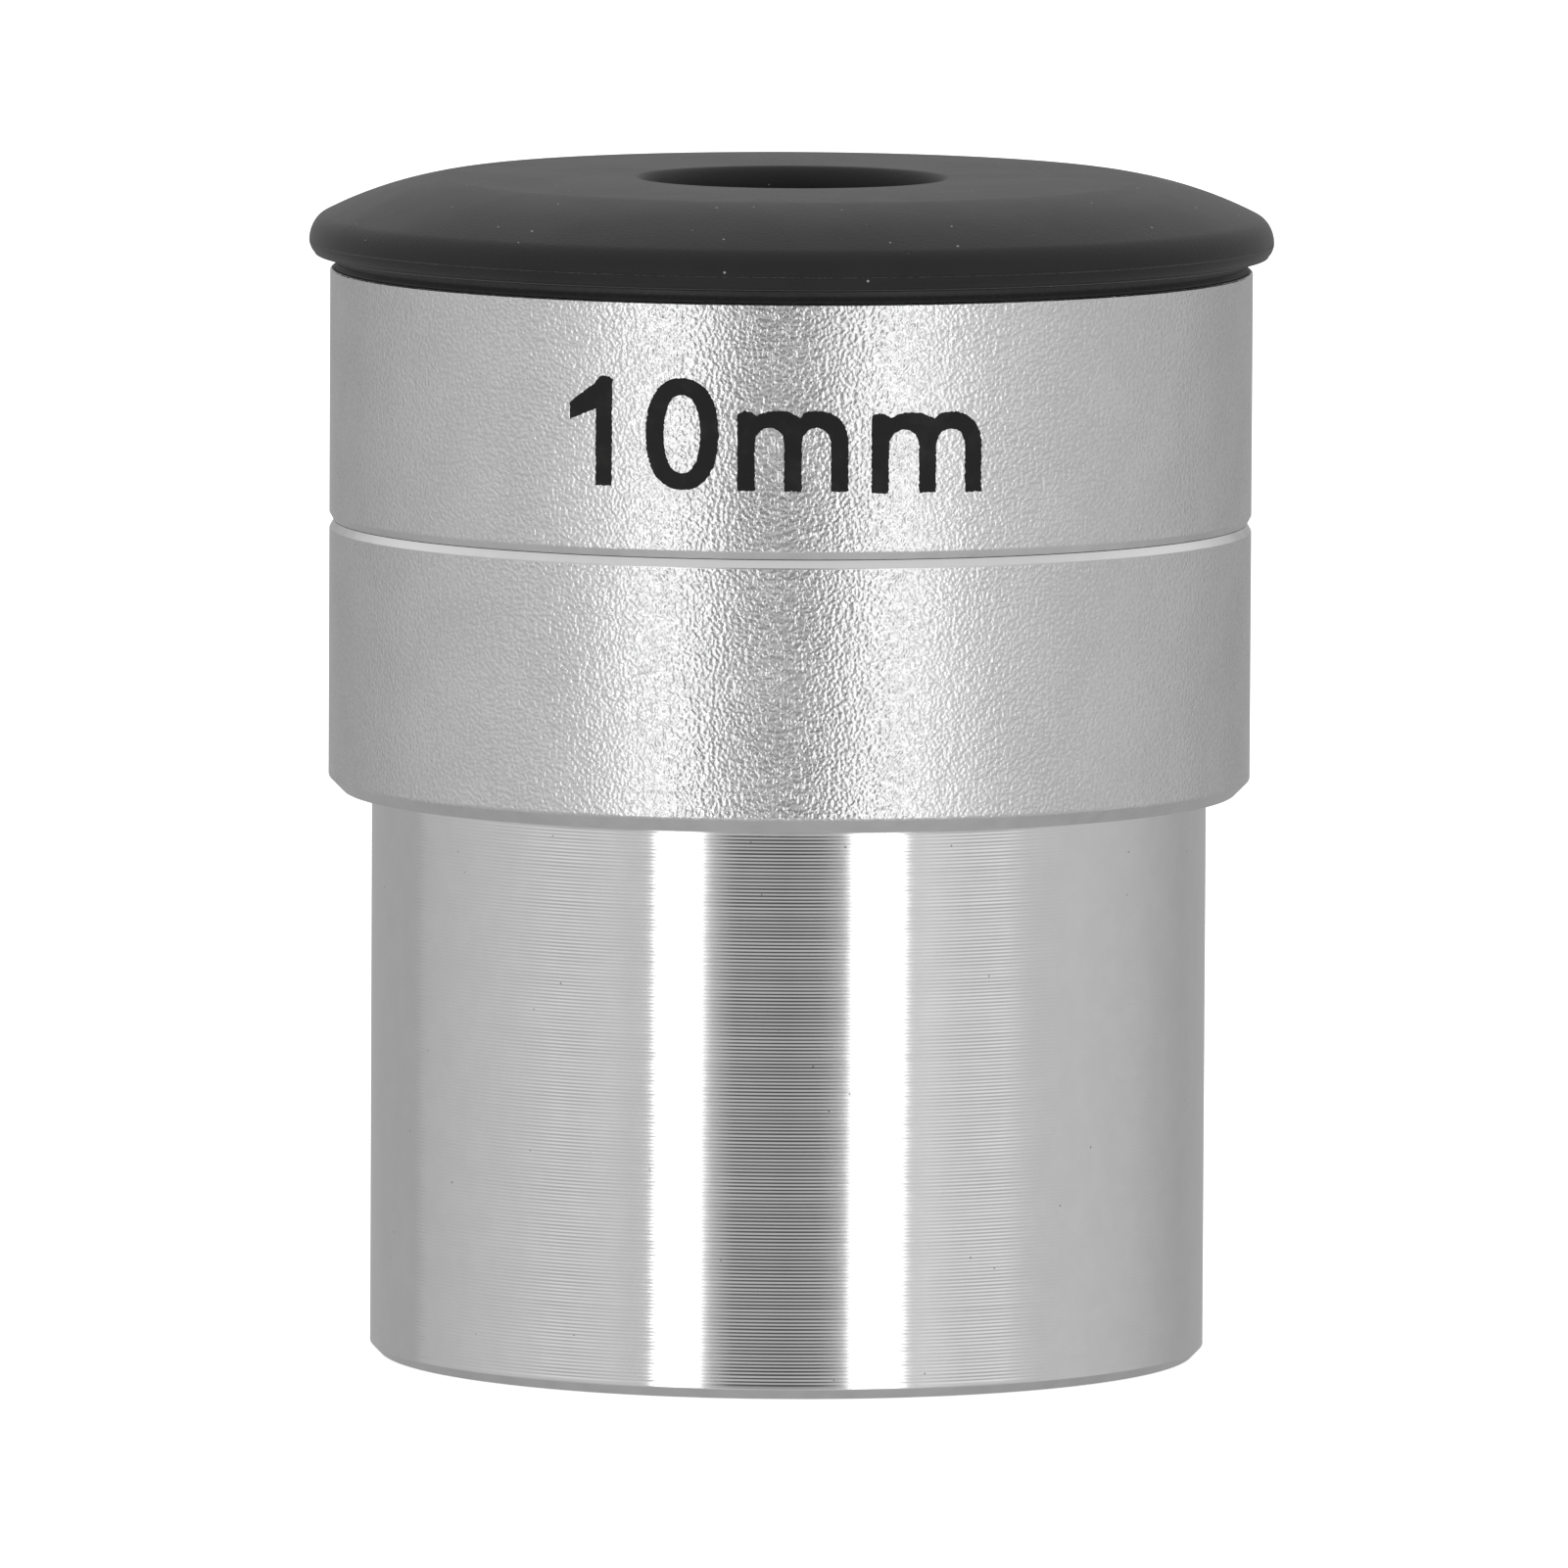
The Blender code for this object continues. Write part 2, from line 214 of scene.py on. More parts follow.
def rounded(corners):
    """Points (radius, height, sharp, look) with an arc at each corner that has a fillet."""
    points = []
    count = len(corners)
    for i, (radius, height, fillet, look) in enumerate(corners):
        if fillet <= 0:
            points.append((radius, height, fillet < 0, look))
            continue
        here = np.array((radius, height))
        before = np.array(corners[i - 1][:2]) - here
        after = np.array(corners[(i + 1) % count][:2]) - here
        before_length, after_length = np.linalg.norm(before), np.linalg.norm(after)
        before, after = before / before_length, after / after_length
        turn = math.pi - math.acos(max(-1.0, min(1.0, float(before @ after))))
        cut = min(fillet * math.tan(turn / 2), 0.45 * before_length, 0.45 * after_length)
        support = min(SUPPORT, 0.04 * before_length + 0.2 * cut, 0.04 * after_length + 0.2 * cut)
        points.append((*(here + before * (cut + support)), False, look))
        steps = 4
        for step in range(steps + 1):
            t = step / steps
            bend = here + before * cut * (1 - t) ** 2 + after * cut * t**2
            points.append((*bend, False, look))
        points.append((*(here + after * (cut + support)), False, look))
    return points


def arc(centre, across, up, start, end, steps):
    """Points on an ellipse, angles in degrees up from the outward direction."""
    angles = [math.radians(start + (end - start) * i / steps) for i in range(steps + 1)]
    return [(centre[0] + across * math.cos(a), centre[1] + up * math.sin(a)) for a in angles]


def bulged(start, end, bulge, steps):
    """Points from start to end on a shallow curve that stands off its chord by bulge."""
    start, end = np.array(start), np.array(end)
    along = end - start
    outward = np.array((-along[1], along[0])) / np.linalg.norm(along)
    places = [i / steps for i in range(steps + 1)]
    return [tuple(start + along * t + outward * 4 * bulge * t * (1 - t)) for t in places]


def sag(curvature, radius):
    """How far a sphere's surface falls away from its vertex at this radius."""
    return curvature - math.sqrt(curvature**2 - radius**2)


# ---------------------------------------------------------------- meshes


def make_object(name, vertices, faces, looks, face_looks=None, sharp_edges=()):
    """A smooth-shaded mesh object. Vertices are in millimetres."""
    mesh = bpy.data.meshes.new(name)
    mesh.from_pydata([tuple(c * MM for c in v) for v in vertices], [], faces)
    mesh.polygons.foreach_set("use_smooth", [True] * len(mesh.polygons))
    for look in looks:
        mesh.materials.append(look)
    if face_looks is not None:
        mesh.polygons.foreach_set("material_index", face_looks)
    if len(sharp_edges):
        ends = np.empty(len(mesh.edges) * 2, np.int32)
        mesh.edges.foreach_get("vertices", ends)
        keys = np.sort(ends.reshape(-1, 2), axis=1) @ (len(vertices), 1)
        wanted = np.sort(np.array(sharp_edges), axis=1) @ (len(vertices), 1)
        mesh.edges.foreach_set("use_edge_sharp", np.isin(keys, wanted))
    mesh.validate()
    obj = bpy.data.objects.new(name, mesh)
    bpy.context.scene.collection.objects.link(obj)
    return obj


def turned(name, corners, looks, segments=SEGMENTS, extra=None):
    """A turned piece. The profile runs down the outer side; a hollow one's goes on up the bore."""
    points = rounded(corners)
    solid = points[0][0] == 0
    vertices, faces, face_looks, sharp_edges, rings = [], [], [], [], []
    angles = [2 * math.pi * i / segments for i in range(segments)]
    around = [(math.sin(a), -math.cos(a)) for a in angles]
    for radius, height, sharp, _look in points:
        start = len(vertices)
        if radius == 0:
            vertices.append((0.0, 0.0, height))
            rings.append([start] * segments)
            continue
        vertices.extend((radius * x, radius * y, height) for x, y in around)
        rings.append(list(range(start, start + segments)))
        if sharp:
            sharp_edges.extend((start + i, start + (i + 1) % segments) for i in range(segments))
    bands = list(zip(rings, rings[1:], points[1:]))
    if not solid:
        bands.append((rings[-1], rings[0], points[0]))
    for upper, lower, point in bands:
        for i in range(segments):
            j = (i + 1) % segments
            faces.append(tuple(dict.fromkeys((upper[i], lower[i], lower[j], upper[j]))))
            face_looks.append(point[3])
    for more_vertices, more_faces, look in extra or ():
        offset = len(vertices)
        vertices.extend(more_vertices)
        faces.extend(tuple(offset + v for v in face) for face in more_faces)
        face_looks.extend([look] * len(more_faces))
    return make_object(name, vertices, faces, looks, face_looks, sharp_edges)


def thread(radius, depth, pitch, low, high, look=0, inside=False, segments=96):
    """A helical ridge with rounded flanks, tapered at both ends and sunk a little into its cylinder."""
    turns = (high - low) / pitch - 1.0
    count = max(2, int(turns * segments))
    side = -1.0 if inside else 1.0
    root, width = 0.02, pitch * 0.86
    lower_flank = [(-root, -width / 2), (depth * 0.8, -width * 0.16)]
    upper_flank = [(depth * 0.8, width * 0.16), (-root, width / 2)]
    section = [*lower_flank, (depth, 0.0), *upper_flank]
    vertices, faces = [], []
    for i in range(count + 1):
        turn = turns * i / count
        angle = 2 * math.pi * turn
        fade = min(1.0, 3 * turn + 0.02, 3 * (turns - turn) + 0.02)
        middle = low + pitch / 2 + turn * pitch
        for out, up in section:
            reach = radius + side * (out * fade if out > 0 else out)
            height = middle + up * max(fade, 0.3)
            vertices.append((reach * math.sin(angle), -reach * math.cos(angle), height))
    size = len(section)
    for i in range(count):
        for k in range(size):
            m = (k + 1) % size
            a, b = i * size + k, i * size + m
            quad = (a, a + size, b + size, b)
            faces.append(quad[::-1] if inside else quad)
    first = tuple(range(size))
    last = tuple(range(count * size, count * size + size))
    faces.append(first if not inside else first[::-1])
    faces.append(last[::-1] if not inside else last)
    return vertices, faces, look


# ---------------------------------------------------------------- materials


class Nodes:
    """A short way to write a node tree: inputs are set by name, and a node as a value is linked."""

    def __init__(self, tree):
        self.tree = tree

    def add(self, kind, output=0, **settings):
        node = self.tree.nodes.new(kind)
        inputs = settings.pop("inputs", {})
        for key, value in settings.items():
            setattr(node, key, value)
        for key, value in inputs.items():
            if isinstance(value, bpy.types.NodeSocket):
                self.tree.links.new(value, node.inputs[key])
            else:
                node.inputs[key].default_value = value
        return node.outputs[output]

    def math(self, operation, a, b=0.0, c=0.0, clamp=False):
        return self.add("ShaderNodeMath", operation=operation, use_clamp=clamp, inputs={0: a, 1: b, 2: c})

    def between(self, value, low, high, to_low=0.0, to_high=1.0):
        """value mapped from low..high to to_low..to_high, with soft ends."""
        settings = {"Value": value, "From Min": low, "From Max": high, "To Min": to_low, "To Max": to_high}
        return self.add("ShaderNodeMapRange", interpolation_type="SMOOTHSTEP", inputs=settings)

    def ramp(self, value, stops):
        """A number read off a table of (place from 0 to 1, number up to BRIGHTEST)."""
        node = self.tree.nodes.new("ShaderNodeValToRGB")
        self.tree.links.new(value, node.inputs[0])
        elements = node.color_ramp.elements
        for place, number in stops[1:-1]:
            elements.new(place).color = grey(number / BRIGHTEST)
        for element, (place, number) in ((elements[0], stops[0]), (elements[-1], stops[-1])):
            element.position = place
            element.color = grey(number / BRIGHTEST)
        return self.math("MULTIPLY", node.outputs[0], BRIGHTEST)

    def vector(self, operation, value, by, output=0):
        """A vector operation; output 1 is a number."""
        inputs = {0: value, 1: by}
        return self.add("ShaderNodeVectorMath", output=output, operation=operation, inputs=inputs)

    def cells(self, place, scale):
        """The distance to the nearest of many scattered points."""
        inputs = {"Vector": place, "Scale": scale, "Randomness": 1.0}
        return self.add("ShaderNodeTexVoronoi", inputs=inputs)

    def mix(self, factor, first, second):
        """A number between two numbers."""
        return self.add("ShaderNodeMix", inputs={0: factor, 2: first, 3: second})

    def blend(self, factor, first, second):
        """A colour between two colours."""
        inputs = {0: factor, 6: first, 7: second}
        return self.add("ShaderNodeMix", output=2, data_type="RGBA", inputs=inputs)


def grey(value, tint=(1.0, 1.0, 1.0)):
    return (value * tint[0], value * tint[1], value * tint[2], 1.0)


def new_material(name):
    """(material, its node writer, its Principled shader, object coordinates in millimetres)."""
    material = bpy.data.materials.new(name)
    material.use_nodes = True
    nodes = Nodes(material.node_tree)
    shader = material.node_tree.nodes["Principled BSDF"]
    place = nodes.add("ShaderNodeTexCoord", output=3)
    place = nodes.add("ShaderNodeVectorMath", operation="SCALE", inputs={0: place, 3: 1 / MM})
    return material, nodes, shader, place


def set_shader(material, shader, **inputs):
    for name, value in inputs.items():
        socket = shader.inputs[name.replace("_", " ")]
        if isinstance(value, bpy.types.NodeSocket):
            material.node_tree.links.new(value, socket)
        else:
            socket.default_value = value


def noise(nodes, place, scale, detail=2.0, roughness=0.5):
    settings = {"Vector": place, "Scale": scale, "Detail": detail, "Roughness": roughness}
    return nodes.add("ShaderNodeTexNoise", inputs=settings)


def bump(nodes, height, distance, normal=None):
    """A bump whose height is in units of distance, in millimetres."""
    inputs = {"Height": height, "Distance": distance * MM, "Strength": 1.0}
    if normal is not None:
        inputs["Normal"] = normal
    return nodes.add("ShaderNodeBump", inputs=inputs)


def blasted_aluminium():
    """Sandblasted and clear anodised: a worm-like grain that sparkles where it faces a light."""
    material, nodes, shader, place = new_material("blasted_aluminium")
    grain = noise(nodes, place, 7.4, detail=0.7, roughness=0.4)
    fine = noise(nodes, place, 15.0, detail=1.0, roughness=0.5)
    height = nodes.math("MULTIPLY_ADD", fine, 0.15, grain)
    patches = noise(nodes, place, 0.35, detail=3.0)
    pits = nodes.math("MULTIPLY_ADD", patches, 0.5, height)
    colour = nodes.blend(nodes.between(pits, 0.55, 1.1), grey(0.74), grey(0.83))
    roughness = nodes.between(patches, 0.3, 0.7, 0.27, 0.31)
    normal = bump(nodes, height, 0.039)
    set_shader(material, shader, Base_Color=colour, Metallic=1.0, Roughness=roughness, Normal=normal)
    return material


def machined_aluminium():
    """The smooth cut bevels of the housing, with faint circular tool marks. On the barrel's lower chamfer
    and rim its darker grey is also painted shade, standing for the floor's contact shadow.
    """
    material, nodes, shader, place = new_material("machined_aluminium")
    height = nodes.add("ShaderNodeSeparateXYZ", output=2, inputs={0: place})
    settings = {"W": height, "Scale": 22.0, "Detail": 2.0}
    lines = nodes.add("ShaderNodeTexNoise", noise_dimensions="1D", inputs=settings)
    smear = noise(nodes, place, 1.2)
    colour = nodes.blend(nodes.between(smear, 0.3, 0.7), grey(0.72), grey(0.76))
    roughness = nodes.between(smear, 0.3, 0.7, 0.3, 0.36)
    normal = bump(nodes, lines, 0.002)
    set_shader(material, shader, Base_Color=colour, Metallic=1.0, Roughness=roughness, Normal=normal)
    return material


def turned_aluminium():
    """The bright barrel: mirror-like along each turning line, with fine scratches round the tube."""
    material, nodes, shader, place = new_material("turned_aluminium")
    stretch = nodes.vector("MULTIPLY", place, (0.25, 0.25, 14.0))
    scratches = noise(nodes, stretch, 1.6, detail=3.0, roughness=0.6)
    chatter = noise(nodes, place, 2.4, detail=2.0)
    spots = noise(nodes, place, 0.8, detail=4.0, roughness=0.6)
    polished = nodes.blend(nodes.between(spots, 0.35, 0.7), grey(0.86), grey(0.89))
    pit = nodes.math("LESS_THAN", nodes.cells(place, 0.9), nodes.math("MULTIPLY", spots, 0.07))
    colour = nodes.blend(nodes.math("MULTIPLY", pit, 0.7), polished, grey(0.3))
    roughness = nodes.between(scratches, 0.3, 0.7, 0.07, 0.11)
    normal = bump(nodes, scratches, 0.0012)
    normal = bump(nodes, chatter, 0.0004, normal=normal)
    set_shader(material, shader, Base_Color=colour, Metallic=1.0, Roughness=roughness, Normal=normal)
    return material


def black_anodised():
    """Matt black inside parts and the neck, with tool marks round the axis."""
    material, nodes, shader, place = new_material("black_anodised")
    flat = nodes.vector("MULTIPLY", place, (1.0, 1.0, 0.0))
    radius = nodes.vector("LENGTH", flat, (0.0, 0.0, 0.0), output=1)
    height = nodes.vector("DOT_PRODUCT", place, (0.0, 0.0, 1.0), output=1)
    tool_path = nodes.add("ShaderNodeCombineXYZ", inputs={"X": radius, "Z": height})
    marks = noise(nodes, tool_path, 9.0, detail=2.0)
    dust = noise(nodes, place, 6.0, detail=3.0, roughness=0.6)
    colour = nodes.blend(nodes.between(dust, 0.4, 0.75), grey(0.014), grey(0.022))
    roughness = nodes.between(marks, 0.3, 0.7, 0.42, 0.6)
    normal = bump(nodes, marks, 0.004)
    set_shader(material, shader, Base_Color=colour, Roughness=roughness, Normal=normal)
    set_shader(material, shader, Specular_IOR_Level=0.45)
    return material


def bore_black():
    """Stray-light paint inside the barrel: dead matt with a fine tooth."""
    material, nodes, shader, place = new_material("bore_black")
    tooth = noise(nodes, place, 9.0, detail=3.0, roughness=0.6)
    colour = nodes.blend(nodes.between(tooth, 0.3, 0.7), grey(0.006), grey(0.014))
    normal = bump(nodes, tooth, 0.03)
    set_shader(material, shader, Base_Color=colour, Roughness=0.8, Specular_IOR_Level=0.3, Normal=normal)
    return material


def rubber():
    """Moulded black rubber: a soft bloom, a fine tooth and a few grains of dust."""
    material, nodes, shader, place = new_material("black_rubber")
    bloom = noise(nodes, place, 0.28, detail=4.0, roughness=0.6)
    tooth = noise(nodes, place, 7.5, detail=3.0, roughness=0.6)
    wobble = noise(nodes, place, 9.0)
    edge = nodes.math("MULTIPLY_ADD", wobble, 0.06, 0.015)
    speck = nodes.math("LESS_THAN", nodes.cells(place, 1.0), edge)
    base = nodes.blend(nodes.between(bloom, 0.3, 0.7), grey(0.006), grey(0.009))
    colour = nodes.blend(nodes.math("MULTIPLY", speck, 0.8), base, grey(0.4, (1.0, 0.98, 0.94)))
    roughness = nodes.between(bloom, 0.3, 0.7, 0.57, 0.63)
    normal = bump(nodes, tooth, 0.016)
    set_shader(material, shader, Base_Color=colour, Roughness=roughness, Normal=normal)
    set_shader(material, shader, Specular_IOR_Level=0.36, Sheen_Weight=0.12)
    set_shader(material, shader, Sheen_Roughness=0.35, Sheen_Tint=grey(1.0))
    return material


def ink():
    """The black marking, a thin layer of paint over the grain."""
    material, nodes, shader, place = new_material("marking_ink")
    tooth = noise(nodes, place, 6.0, detail=2.0)
    wear = noise(nodes, place, 1.1, detail=3.0, roughness=0.6)
    colour = nodes.blend(nodes.between(wear, 0.45, 0.8), grey(0.006), grey(0.014, (1.0, 0.95, 0.92)))
    normal = bump(nodes, tooth, 0.01)
    set_shader(material, shader, Base_Color=colour, Roughness=0.55, Specular_IOR_Level=0.25, Normal=normal)
    return material


def coated_glass():
    """Lens glass with a faint green-violet coating sheen and a trace of dust."""
    material, nodes, shader, place = new_material("coated_glass")
    dust = noise(nodes, place, 2.5, detail=6.0, roughness=0.75)
    roughness = nodes.between(dust, 0.62, 0.8, 0.0, 0.12)
    tint = nodes.add("ShaderNodeLayerWeight", output=1, inputs={"Blend": 0.35})
    colour = nodes.blend(tint, (0.985, 1.0, 0.992, 1.0), (0.99, 0.965, 1.0, 1.0))
    set_shader(
        material,
        shader,
        Base_Color=colour,
        Roughness=roughness,
        IOR=1.52,
        Transmission_Weight=1.0,
        Specular_Tint=(0.55, 1.0, 0.75, 1.0),
    )
    return material


def ground_edge():
    """The ground and blackened rim of a lens."""
    material, nodes, shader, place = new_material("ground_lens_edge")
    tooth = noise(nodes, place, 14.0, detail=2.0)
    colour = nodes.blend(nodes.between(tooth, 0.3, 0.7), grey(0.01), grey(0.03))
    set_shader(material, shader, Base_Color=colour, Roughness=0.85, Normal=bump(nodes, tooth, 0.01))
    return material


# ---------------------------------------------------------------- pieces


def finish_piece(piece, body, slot, *nodes):
    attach(piece, body)
    if nodes:
        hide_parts(*nodes)
    return piece


def turning_lines(radius, low, high):
    """The zigzag of a turned surface, top to bottom: one groove for each turn of the tool."""
    draw = random.Random(TURNING_SEED)
    points = [(radius, high)]
    height = high
    while height - TURNING_PITCH > low:
        tilt = math.radians(TURNING_TILT + draw.uniform(-1, 1) * TURNING_TILT_SPREAD)
        share = 0.5 + draw.uniform(-0.07, 0.07)
        depth = TURNING_PITCH / 2 * math.tan(tilt)
        points.append((radius - depth, height - TURNING_PITCH * share))
        points.append((radius - draw.uniform(0, 0.0008), height - TURNING_PITCH))
        height -= TURNING_PITCH
    return points


def make_barrel(bright, black, machined):
    radius, base, top = span("barrel")
    thread_root = SPIGOT_RADIUS - THREAD_DEPTH
    filter_root = FILTER_BORE + 0.12
    corners = [
        corner(SPIGOT_BORE, top, 0.06),
        corner(thread_root - 0.3, top, 0.05),
        corner(thread_root, top - 0.3, 0.05),
        corner(thread_root, SHOULDER + 0.5, 0.03),
        corner(SPIGOT_RADIUS - SPIGOT_RELIEF, SHOULDER + SPIGOT_RELIEF, 0.05),
        corner(SPIGOT_RADIUS - SPIGOT_RELIEF, SHOULDER, 0.05),
        corner(radius - 0.06, SHOULDER, 0.03),
        *path(turning_lines(radius, base + BARREL_CHAMFER + 0.06, SHOULDER - 0.1), sharp=True),
        corner(radius, base + BARREL_CHAMFER, 0.06),
        # The lower chamfer, rim and filter mouth are a cut finish; their darker machined grey is also
        # painted shade from the floor.
        corner(radius - BARREL_CHAMFER, base, 0.12, look=2),
        corner(FILTER_BORE + 0.5, base, 0.04, look=2),
        corner(filter_root, base + 0.4, 0.04, look=2),
        corner(filter_root, FILTER_DEPTH, 0.03, look=1),
        corner(FILTER_BORE + 0.25, FILTER_DEPTH + 0.15, 0.03, look=1),
        corner(BARREL_BORE, FILTER_DEPTH + 0.6, 0.05, look=1),
        corner(BARREL_BORE, LEDGE_TOP - LEDGE_THICKNESS, 0.04, look=1),
        corner(LEDGE_BORE, LEDGE_TOP - LEDGE_THICKNESS, 0.08, look=1),
        corner(LEDGE_BORE, LEDGE_TOP, 0.04, look=1),
        corner(SPIGOT_BORE, LEDGE_TOP, 0.04, look=1),
    ]
    threads = [
        thread(thread_root, THREAD_DEPTH, SPIGOT_PITCH, SHOULDER + 0.45, top - 0.2),
        thread(filter_root, THREAD_DEPTH, FILTER_PITCH, base + 0.3, FILTER_DEPTH, look=1, inside=True),
    ]
    barrel = turned("barrel_tube", corners, [bright, black, machined], FINE_SEGMENTS, threads)
    return finish_piece(barrel, "barrel", "turned_aluminium", "barrel")


def slotted_ring(name, node, bore, look, body, slot_face, chamfer=0.15):
    """A clamp ring with two spanner slots cut in its upper or lower face."""
    radius, base, top = span(node)
    corners = [
        corner(bore + chamfer, top, 0.03),
        corner(radius - chamfer, top, 0.03),
        corner(radius, top - chamfer, 0.03),
        corner(radius, base + chamfer, 0.03),
        corner(radius - chamfer, base, 0.03),
        corner(bore + chamfer, base, 0.03),
        corner(bore, base + chamfer, 0.03),
        corner(bore, top - chamfer, 0.03),
    ]
    ring = turned(name, corners, [look], LENS_SEGMENTS)
    face = top if slot_face > 0 else base
    inner, outer = bore - 1.0, radius - 0.9
    size = ((outer - inner) * MM, SLOT_WIDTH * MM, 2 * SLOT_DEPTH * MM)
    blank = bmesh.new()
    for side in (-1, 1):
        made = bmesh.ops.create_cube(blank, size=1.0)["verts"]
        bmesh.ops.scale(blank, vec=size, verts=made)
        bmesh.ops.translate(blank, vec=(side * (outer + inner) / 2 * MM, 0, face * MM), verts=made)
    mesh = bpy.data.meshes.new(name + "_cutter")
    blank.to_mesh(mesh)
    blank.free()
    cutter = bpy.data.objects.new(name + "_cutter", mesh)
    bpy.context.scene.collection.objects.link(cutter)
    cut = ring.modifiers.new("Slots", "BOOLEAN")
    cut.object = cutter
    cut.solver = "EXACT"
    depsgraph = bpy.context.evaluated_depsgraph_get()
    ring.data = bpy.data.meshes.new_from_object(ring.evaluated_get(depsgraph))
    ring.modifiers.clear()
    bpy.data.objects.remove(cutter)
    ring.data.set_sharp_from_angle(angle=math.radians(35))
    return finish_piece(ring, body, "black_anodised", node)


def make_field_stop(black):
    radius, base, top = span("field_stop_disc")
    corners = [
        corner(FIELD_APERTURE + 0.55, top, 0.02),
        corner(radius, top, 0.04),
        corner(radius, base, 0.04),
        corner(FIELD_APERTURE, base, 0.01),
        corner(FIELD_APERTURE, base + 0.08, 0.01),
    ]
    disc = turned("field_stop", corners, [black], LENS_SEGMENTS)
    finish_piece(disc, "barrel", "black_anodised", "field_stop_disc")
    slotted_ring("field_stop_clamp", "field_stop_ring", 10.6, black, "barrel", 1)


def make_lower_shell(blasted, machined, black):
    radius, base, top = span("lower_body")
    corners = [
        corner(SHELL_THREAD, top, 0.04, look=1),
        corner(radius - SEAM_DEPTH, top, 0.015, look=1),
        corner(radius, top - SEAM_BEVEL_BELOW, 0.09, look=1),
        corner(radius, base + CHAMFER, 0.16),
        corner(radius - CHAMFER, base, 0.1, look=1),
        corner(MOUTH, base, 0.05, look=1),
        corner(MOUTH, SHOULDER + 0.05, 0.03, look=1),
        corner(RECESS, SHOULDER + 0.05, 0.05, look=1),
        corner(RECESS, RECESS_TOP, 0.05, look=1),
        corner(SHELL_THREAD, RECESS_TOP, 0.05, look=1),
    ]
    shell = turned("lower_shell", corners, [blasted, machined, black], FINE_SEGMENTS)
    return finish_piece(shell, "housing", "satin_aluminium", "lower_body")


def make_upper_shell(blasted, machined, black):
    radius, spigot_base, top = span("upper_body")
    base = span("lower_body")[2] + 0.02
    spigot = SHELL_THREAD - FIT
    cell_radius, cell_base, _ = span("lens_cell")
    cell_bore = cell_radius + FIT
    ring_bore = span("pack_lock_ring")[0] + FIT
    socket_base = top - EYE_END_SOCKET_DEPTH
    corners = [
        corner(EYE_END_SOCKET, top, 0.04, look=1),
        corner(radius - TOP_EDGE_BREAK, top, 0.01, look=1),
        corner(radius, top - TOP_EDGE_BREAK, 0.02),
        corner(radius, base + SEAM_BEVEL_ABOVE, 0.1),
        corner(radius - SEAM_DEPTH, base, 0.015, look=1),
        corner(spigot, base, 0.05, look=1),
        corner(spigot, spigot_base, 0.1, look=2),
        corner(ring_bore, spigot_base, 0.05, look=2),
        corner(ring_bore, cell_base, 0.04, look=2),
        corner(cell_bore, cell_base, 0.04, look=2),
        corner(cell_bore, socket_base, 0.04, look=2),
        corner(EYE_END_SOCKET, socket_base, 0.04, look=2),
    ]
    shell = turned("upper_shell", corners, [blasted, machined, black], FINE_SEGMENTS)
    return finish_piece(shell, "housing", "satin_aluminium", "upper_body")


def make_neck(black):
    radius, plug_base, boss_top = span("eye_end_ring")
    housing_top = span("upper_body")[2]
    neck_top = span("eyecup")[1] - 0.05
    cell_radius, _, cell_top = span("lens_cell")
    plug, cell_bore = EYE_END_SOCKET - FIT, cell_radius + FIT
    corners = [
        corner(BOSS_BORE, boss_top, 0.1),
        corner(BOSS_RADIUS - BOSS_CHAMFER, boss_top, 0.06),
        corner(BOSS_RADIUS, boss_top - BOSS_CHAMFER, 0.06),
        corner(BOSS_RADIUS, neck_top, 0.06),
        corner(radius - NECK_INSET, neck_top, 0.03),
        corner(radius - NECK_INSET, housing_top + 0.26, 0.2),
        corner(radius, housing_top + 0.06, 0.05),
        corner(radius, housing_top + NECK_FOOT, 0.02),
        corner(plug, housing_top + NECK_FOOT, 0.04),
        corner(plug, plug_base, 0.05),
        corner(cell_bore, plug_base, 0.04),
        corner(cell_bore, cell_top + 0.05, 0.03),
        corner(6.2, cell_top + 0.05, 0.03),
    ]
    neck = turned("eye_end", corners, [black])
    return finish_piece(neck, "housing", "black_anodised", "eye_end_ring")


def make_eyecup(look):
    radius, base, top = span("eyecup")
    foot_centre = (radius - RIM_FOOT_ACROSS, base + RIM_FOOT_UP)
    foot = arc(foot_centre, RIM_FOOT_ACROSS, RIM_FOOT_UP, 0.0, -90.0, 16)
    shoulder_centre = (radius - RIM_SHOULDER_ACROSS, RIM_SHOULDER_BASE)
    shoulder = arc(shoulder_centre, RIM_SHOULDER_ACROSS, RIM_SHOULDER_UP, 69.0, 0.0, 16)
    cone = bulged((CREASE_RADIUS, top), shoulder[0], CONE_BULGE, 14)
    hole_centre = (CUP_HOLE + CUP_HOLE_ROUND, top - CUP_HOLE_DROP)
    hole_edge = arc(hole_centre, CUP_HOLE_ROUND, CUP_HOLE_DROP, 180.0, 90.0, 14)
    flash = foot[11]
    corners = [
        *path(hole_edge),
        *path([(hole_centre[0] + 0.1, top), (CREASE_RADIUS - 0.06, top), (CREASE_RADIUS, top - 0.006)]),
        *path(cone[1:-1]),
        *path(shoulder),
        *path(foot[1:10]),
        *path([(flash[0] + 0.022, flash[1] + 0.02), (flash[0] + 0.026, flash[1] - 0.015)]),
        *path(foot[12:]),
        corner(CUP_CAVITY, base, 0.05),
        corner(CUP_CAVITY, CUP_ROOF, 0.1),
        corner(CUP_HOLE, CUP_ROOF, 0.15),
    ]
    cup = turned("eyecup_rubber", corners, [look], FINE_SEGMENTS)
    return finish_piece(cup, "eyecup", "rubber", "eyecup")


